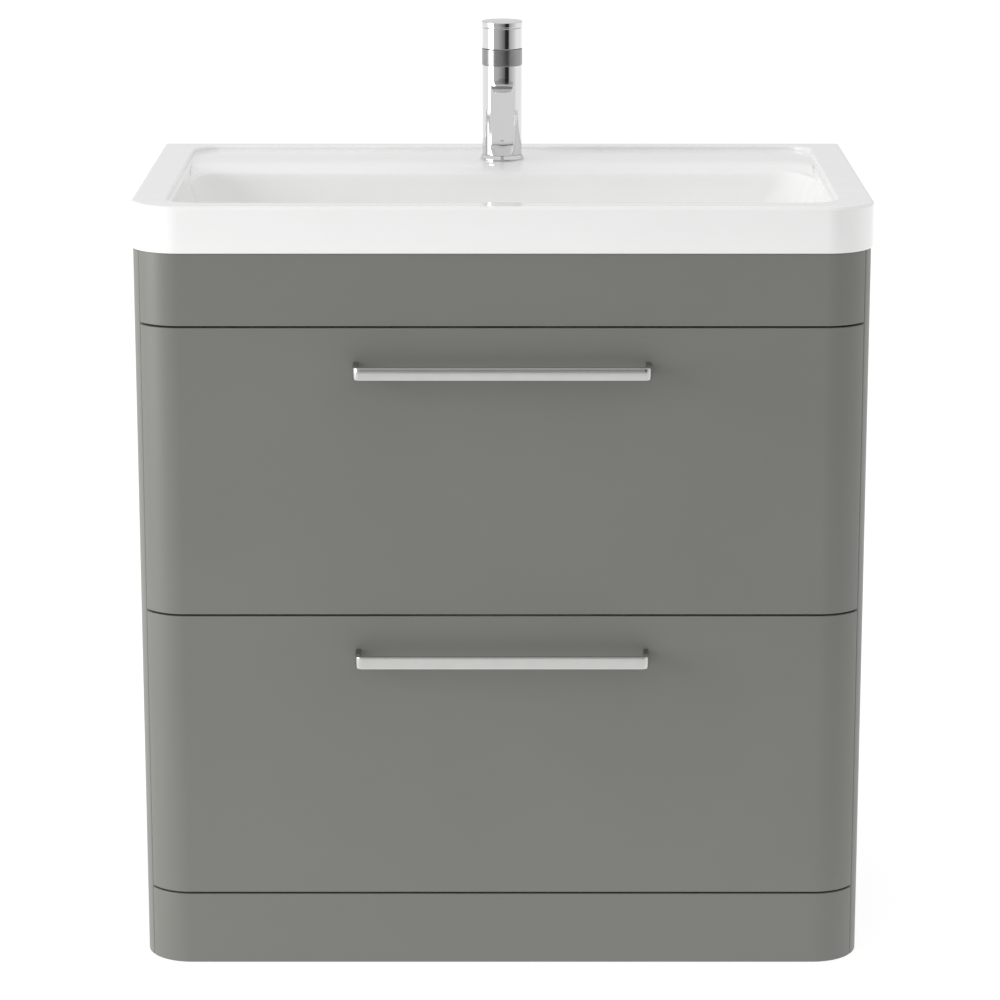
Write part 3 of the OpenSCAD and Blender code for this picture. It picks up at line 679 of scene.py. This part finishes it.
WASTE_AXIS = (0, WASTE_Y, 0)
TUBE_R, TUBE_BORE = 22.2 * MM, 18 * MM
THREADS, THREAD_PITCH = 18, 1.8 * MM
STEM_R, STEM_GAP = 4 * MM, 4.3 * MM
GUIDE_HALF, GUIDE_LOW, GUIDE_HIGH = 3 * MM, FLOOR_Z - 34 * MM, FLOOR_Z - 30 * MM
DOME_ANGLE, DOME_HEIGHT = 22, 5.6 * MM
TRAP_BORE, TRAP_TUBE_R = 14.5 * MM, 17 * MM
STUB_BORE, STUB_R, STUB_NUT_R = 15.4 * MM, 18 * MM, 20 * MM
CUP_BORE, CUP_MOUTH = 27 * MM, 30.1 * MM


def threads(r, low):
    """Rings round a tube that stand for its thread."""
    rings = []
    for k in range(THREADS):
        z = low + k * THREAD_PITCH
        profile = [(r - 0.4 * MM, z), (r + 0.5 * MM, z + 0.7 * MM), (r + 0.5 * MM, z + 0.9 * MM),
                   (r - 0.4 * MM, z + 1.6 * MM)]
        rings.append(lathe(profile, WASTE_AXIS, 64, closed=True))
    return rings


def stem_guide():
    """Two bars across the tube, with a gap between them for the plug's stem."""
    bars = []
    end = TUBE_BORE + 1 * MM
    for near, far in ((-end, -STEM_GAP), (STEM_GAP, end)):
        outline = [(near, WASTE_Y - GUIDE_HALF), (far, WASTE_Y - GUIDE_HALF),
                   (far, WASTE_Y + GUIDE_HALF), (near, WASTE_Y + GUIDE_HALF)]
        bars.append(prism(outline, GUIDE_LOW, GUIDE_HIGH, 0.5 * MM))
    return bars


def build_waste():
    """The flange on its threaded tube, the plug that lifts from it and the nut below the basin."""
    box_low, box_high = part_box("waste_flange")
    r, low, high = box_high.x, box_low.z, box_high.z
    profile = [(TUBE_BORE, low), (TUBE_R, low), (TUBE_R, FLOOR_Z), (r, FLOOR_Z), (r - 2 * MM, high),
               (TUBE_BORE + 2 * MM, high), (TUBE_BORE, high - 1.5 * MM)]
    radii = [0.5 * MM, 0.8 * MM, 0.3 * MM, 0.4 * MM, 1.5 * MM, 0.8 * MM, 0.8 * MM]
    flange = lathe(soften(profile, radii, 3, closed=True), WASTE_AXIS, closed=True)
    thread_rings = threads(TUBE_R, FLOOR_Z - CERAMIC - 46 * MM)
    piece("polished_waste_flange", merge(flange, *stem_guide(), *thread_rings), "cabinet", "chrome",
          ["waste_flange"])

    r, low, high = PLUG_HIGH.x, PLUG_LOW.z, PLUG_HIGH.z
    disc_low = high - 6 * MM
    dome_edge = math.radians(DOME_ANGLE)
    dome = []
    for turn in (DOME_ANGLE, 18, 14, 10, 6, 3, 0.5):
        angle = math.radians(turn)
        fall = (1 - math.cos(angle)) / (1 - math.cos(dome_edge))
        dome.append((r * math.sin(angle) / math.sin(dome_edge), high - DOME_HEIGHT * fall))
    turned("polished_waste_plug",
           [(0.4 * MM, low), (STEM_R, low), (STEM_R, disc_low), (r - 1.2 * MM, disc_low)] + dome,
           [0, 0.6 * MM, 0.8 * MM, 0.6 * MM, 0.4 * MM] + [0] * (len(dome) - 1),
           WASTE_AXIS, "plug", "chrome", ["waste_plug"])

    box_low, box_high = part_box("waste_nut")
    r, low, high = box_high.x, box_low.z, box_high.z
    turned("ribbed_waste_nut",
           [(22.6 * MM, low), (r, low), (r, low + 2 * MM), (r, high - 2 * MM), (r, high), (22.6 * MM, high)],
           [0, 1 * MM, 0, 0, 1 * MM, 0],
           WASTE_AXIS, "cabinet", "brass", ["waste_nut"],
           segments=192, ribs=(24, 1.6 * MM, low + 1 * MM, high - 1 * MM), closed=True)


def trap_shell(low, high, r):
    """The trap's dip tube, its shell and the neck above, with two raised collars."""
    neck_z = high - 16 * MM
    shell_z = neck_z - 50 * MM
    profile = [(TRAP_BORE, low), (TRAP_TUBE_R, low), (TRAP_TUBE_R, shell_z), (r, shell_z),
               (r, neck_z), (24 * MM, neck_z), (24 * MM, high), (TRAP_BORE, high)]
    radii = [0, 0.8 * MM, 0, 1 * MM, 4 * MM, 2.5 * MM, 0.8 * MM, 0]
    parts = [lathe(soften(profile, radii), WASTE_AXIS, closed=True)]
    inner, outer = r - 1 * MM, r + 1.08 * MM
    for z in (neck_z - 8 * MM, shell_z + 19 * MM):
        profile = [(inner, z), (outer, z), (outer, z + 3 * MM), (inner, z + 3 * MM)]
        parts.append(lathe(soften(profile, 0.5 * MM, 2, closed=True), WASTE_AXIS, closed=True))
    return parts


def trap_stub(z, reach):
    """The side branch that takes the outlet pipe, with a ribbed nut at its end."""
    profile = [(STUB_BORE, 24 * MM), (STUB_R, 24 * MM), (STUB_R, reach - 16 * MM),
               (STUB_NUT_R, reach - 15 * MM), (STUB_NUT_R, reach), (STUB_BORE, reach)]
    return lathe(soften(profile, [0, 0, 1 * MM, 1.5 * MM, 1.2 * MM, 0], 3), (0, WASTE_Y, z), 192,
                 axis="Y", ribs=(20, 1.3 * MM, reach - 13 * MM, reach - 1 * MM), closed=True)


def build_trap():
    """The nut that joins the trap to the waste, the trap's body and the cup below it."""
    box_low, box_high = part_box("trap_nut")
    r, low, high = box_high.x, box_low.z, box_high.z
    step = low + 2.5 * MM
    turned("ribbed_trap_nut",
           [(18 * MM, low), (r - 3 * MM, low), (r, low + 4 * MM), (r, high - 2 * MM), (r - 1 * MM, high),
            (23 * MM, high), (23 * MM, step), (18 * MM, step)],
           [0, 1 * MM, 1.5 * MM, 1 * MM, 0.5 * MM, 0.3 * MM, 0, 0],
           WASTE_AXIS, "cabinet", "trap_plastic", ["trap_nut"],
           segments=192, ribs=(28, 1.8 * MM, low + 3 * MM, high - 1 * MM), closed=True)

    box_low, box_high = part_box("trap_body")
    pipe_low, pipe_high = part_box("trap_outlet_pipe")
    stub = trap_stub((pipe_low.z + pipe_high.z) / 2, box_high.y - WASTE_Y)
    shell, *collars = trap_shell(box_low.z, box_high.z, box_high.x)
    piece("moulded_trap_body", merge(shell, stub, *collars), "cabinet", "trap_plastic", ["trap_body"])

    box_low, box_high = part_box("trap_cup")
    r, low, high = box_high.x, box_low.z, box_high.z
    wall_r = r - 1.5 * MM
    turned("ribbed_trap_cup",
           [(0.4 * MM, low), (r - 8 * MM, low), (wall_r, low + 9 * MM), (wall_r, high - 15 * MM),
            (r, high - 13 * MM), (r, high - 2 * MM), (r - 0.5 * MM, high), (CUP_MOUTH, high),
            (CUP_MOUTH, high - 8 * MM), (CUP_BORE, high - 8 * MM), (CUP_BORE, low + 4 * MM),
            (0.4 * MM, low + 3 * MM)],
           [0, 5 * MM, 4 * MM, 1 * MM, 1.5 * MM, 1 * MM, 0.4 * MM, 0.4 * MM, 0, 0, 3 * MM, 0],
           WASTE_AXIS, "cabinet", "trap_plastic", ["trap_cup"],
           segments=224, ribs=(32, 1.6 * MM, high - 12.5 * MM, high - 1 * MM))


build_waste()
build_trap()


# ---- Nodes of the model that stay as they are, with softened edges and a material ----

WELD_GAP = 0.01 * MM
EDGE_LIMIT = math.radians(40)
EDGES = {"board": 0.5 * MM, "timber": 0.8 * MM, "runner_steel": 0.25 * MM, "brass": 0.4 * MM,
         "satin_steel": 0.4 * MM, "trap_plastic": 0.5 * MM, "chrome": 0.3 * MM}


def dress_nodes():
    """Every node that no piece replaces gets its slot's material and soft edges."""
    slots = {part["node"]: part["material_slot"] for part in frame["record"]["subparts"]}
    hidden = {name for obj in scene.objects for name in obj.get("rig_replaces", [])}
    for name, obj in frame["nodes"].items():
        if name in hidden:
            continue
        slot = slots[name]
        obj.data.materials.clear()
        obj.data.materials.append(materials[slot])
        weld = obj.modifiers.new("weld", "WELD")
        weld.merge_threshold = WELD_GAP
        bevel = obj.modifiers.new("bevel", "BEVEL")
        bevel.width = EDGES[slot]
        bevel.segments = 2
        bevel.limit_method = "ANGLE"
        bevel.angle_limit = EDGE_LIMIT
        obj.modifiers.new("normals", "WEIGHTED_NORMAL").keep_sharp = True
        obj.data.shade_smooth()


dress_nodes()


# ---- Floor, light and camera ----

# Brightness of the room at the horizon, by degrees to the right of straight in front of the cabinet
ROOM = ((-180, 0.76), (-135, 0.76), (-116, 0.85), (-106, 0.3), (-98, 0.3), (-94, 2.6), (-64, 2.6),
        (-60, 0.5), (-25, 0.42), (0, 0.25), (16, 0.12), (20, 0.02), (38, 0.02), (45, 0.4), (80, 0.7),
        (112, 0.8), (126, 0.6), (180, 0.76))
CEILING = 0.86
CEILING_FROM, CEILING_TO = 0.10, 0.40  # the rise of a direction over which the room turns into ceiling

FLOOR_HALF, FLOOR_DROP = 60, 0.5 * MM
FLOOR_ALBEDO = 0.3
FLOOR_GLOW, FRONT_GLOW = 0.82, 0.62
GLOW_FROM, GLOW_TO = -1.1, -0.35  # y over which the floor's glow changes from the front's to the rest's
FLOOR_NEAR, FLOOR_FAR = 4.0, 6.0  # distance over which the floor in front turns into room
AHEAD_FROM, AHEAD_TO = -1.5, 0.5  # y over which the floor stops counting as in front

KEY_PLACE, KEY_TARGET = (-3.4, -1.5, 1.3), (0, 0, 0.5)
KEY_SIZE, KEY_POWER = (1.8, 2.2), 58

LENS, SENSOR = 129.6, 36
SHIFT_X, SHIFT_Y = -0.0021, -0.04
CAMERA_AWAY, CAMERA_HEIGHT, CAMERA_TILT = 3.8, 1.4811, 13.355
CAMERA_REACH = 200


def arithmetic(tree, operation, *values):
    """A math node on numbers and sockets."""
    node = tree.nodes.new("ShaderNodeMath")
    node.operation = operation
    for socket, value in zip(node.inputs, values):
        if isinstance(value, (int, float)):
            socket.default_value = value
        else:
            tree.links.new(value, socket)
    return node.outputs[0]


def map_range(tree, source, from_low, from_high, to_low, to_high):
    """A smooth step from one number or socket to another."""
    node = tree.nodes.new("ShaderNodeMapRange")
    node.interpolation_type = "SMOOTHSTEP"
    for name, value in (("From Min", from_low), ("From Max", from_high),
                        ("To Min", to_low), ("To Max", to_high)):
        socket = node.inputs[name]
        if isinstance(value, (int, float)):
            socket.default_value = value
        else:
            tree.links.new(value, socket)
    tree.links.new(source, node.inputs["Value"])
    return node.outputs["Result"]


def room_brightness(tree, x, y):
    """How bright the room is in the direction of x and y: tall soft boxes and dark gaps."""
    turn = arithmetic(tree, "ARCTAN2", x, arithmetic(tree, "MULTIPLY", y, -1.0))
    share = arithmetic(tree, "ADD", arithmetic(tree, "MULTIPLY", turn, 0.5 / math.pi), 0.5)
    ramp = tree.nodes.new("ShaderNodeValToRGB")
    top = max(value for _, value in ROOM)
    stops = ramp.color_ramp.elements
    for i, (degrees, value) in enumerate(ROOM):
        spot = degrees / 360 + 0.5
        stop = stops[i] if i < 2 else stops.new(spot)
        stop.position = spot
        stop.color = (value / top, value / top, value / top, 1)
    tree.links.new(share, ramp.inputs["Fac"])
    return arithmetic(tree, "MULTIPLY", ramp.outputs["Color"], top)


def build_floor():
    """A wide white floor. In front of the object it turns into the room that the world shows above it."""
    bm = bmesh.new()
    bm.faces.new([bm.verts.new((x * FLOOR_HALF, y * FLOOR_HALF, -FLOOR_DROP))
                  for x, y in ((-1, -1), (1, -1), (1, 1), (-1, 1))])
    mesh = bpy.data.meshes.new("floor")
    bm.to_mesh(mesh)
    bm.free()
    material = bpy.data.materials.new("floor_white")
    material.use_nodes = True
    tree = material.node_tree
    shader = tree.nodes["Principled BSDF"]
    shader.inputs["Roughness"].default_value = 1.0
    shader.inputs["Specular IOR Level"].default_value = 0.0
    shader.inputs["Emission Color"].default_value = (1, 1, 1, 1)
    split = tree.nodes.new("ShaderNodeSeparateXYZ")
    tree.links.new(tree.nodes.new("ShaderNodeTexCoord").outputs["Object"], split.inputs[0])
    x, y = split.outputs["X"], split.outputs["Y"]
    squares = [arithmetic(tree, "MULTIPLY", value, value) for value in (x, y)]
    reach = arithmetic(tree, "SQRT", arithmetic(tree, "ADD", *squares))
    ahead = map_range(tree, y, AHEAD_FROM, AHEAD_TO, 1.0, 0.0)
    far = arithmetic(tree, "MULTIPLY", ahead, map_range(tree, reach, FLOOR_NEAR, FLOOR_FAR, 0.0, 1.0))
    room = room_brightness(tree, x, y)
    near = map_range(tree, y, GLOW_FROM, GLOW_TO, FRONT_GLOW, FLOOR_GLOW)
    tree.links.new(map_range(tree, far, 0.0, 1.0, near, room), shader.inputs["Emission Strength"])
    albedo = map_range(tree, far, 0.0, 1.0, FLOOR_ALBEDO, arithmetic(tree, "MULTIPLY", room, FLOOR_ALBEDO))
    tree.links.new(albedo, shader.inputs["Base Color"])
    mesh.materials.append(material)
    floor = bpy.data.objects.new("floor", mesh)
    scene.collection.objects.link(floor)


def build_key_light():
    """One large soft light at the left."""
    light = bpy.data.lights.new("key", "AREA")
    light.shape = "RECTANGLE"
    light.size, light.size_y = KEY_SIZE
    light.energy = KEY_POWER
    obj = bpy.data.objects.new("key", light)
    obj.location = KEY_PLACE
    aim = Vector(KEY_TARGET) - Vector(KEY_PLACE)
    obj.rotation_euler = aim.to_track_quat("-Z", "Y").to_euler()
    scene.collection.objects.link(obj)


def build_world():
    """A room with tall soft boxes round the horizon and a bright ceiling."""
    world = bpy.data.worlds.new("studio")
    scene.world = world
    world.use_nodes = True
    tree = world.node_tree
    split = tree.nodes.new("ShaderNodeSeparateXYZ")
    tree.links.new(tree.nodes.new("ShaderNodeTexCoord").outputs["Generated"], split.inputs[0])
    around = room_brightness(tree, split.outputs["X"], split.outputs["Y"])
    strength = map_range(tree, split.outputs["Z"], CEILING_FROM, CEILING_TO, around, CEILING)
    tree.links.new(strength, tree.nodes["Background"].inputs["Strength"])
    tree.nodes["Background"].inputs["Color"].default_value = (1, 1, 1, 1)


def build_camera():
    """The photograph's camera: straight in front, looking a little down."""
    camera = bpy.data.cameras.new("camera")
    camera.lens, camera.sensor_width = LENS, SENSOR
    camera.shift_x, camera.shift_y = SHIFT_X, SHIFT_Y
    camera.clip_end = CAMERA_REACH
    obj = bpy.data.objects.new("camera", camera)
    obj.location = (0, FRONT_Y - CAMERA_AWAY, CAMERA_HEIGHT)
    obj.rotation_euler = (math.radians(90 - CAMERA_TILT), 0, 0)
    scene.collection.objects.link(obj)
    scene.camera = obj


build_floor()
build_world()
build_key_light()
build_camera()
scene.view_settings.view_transform = "Standard"
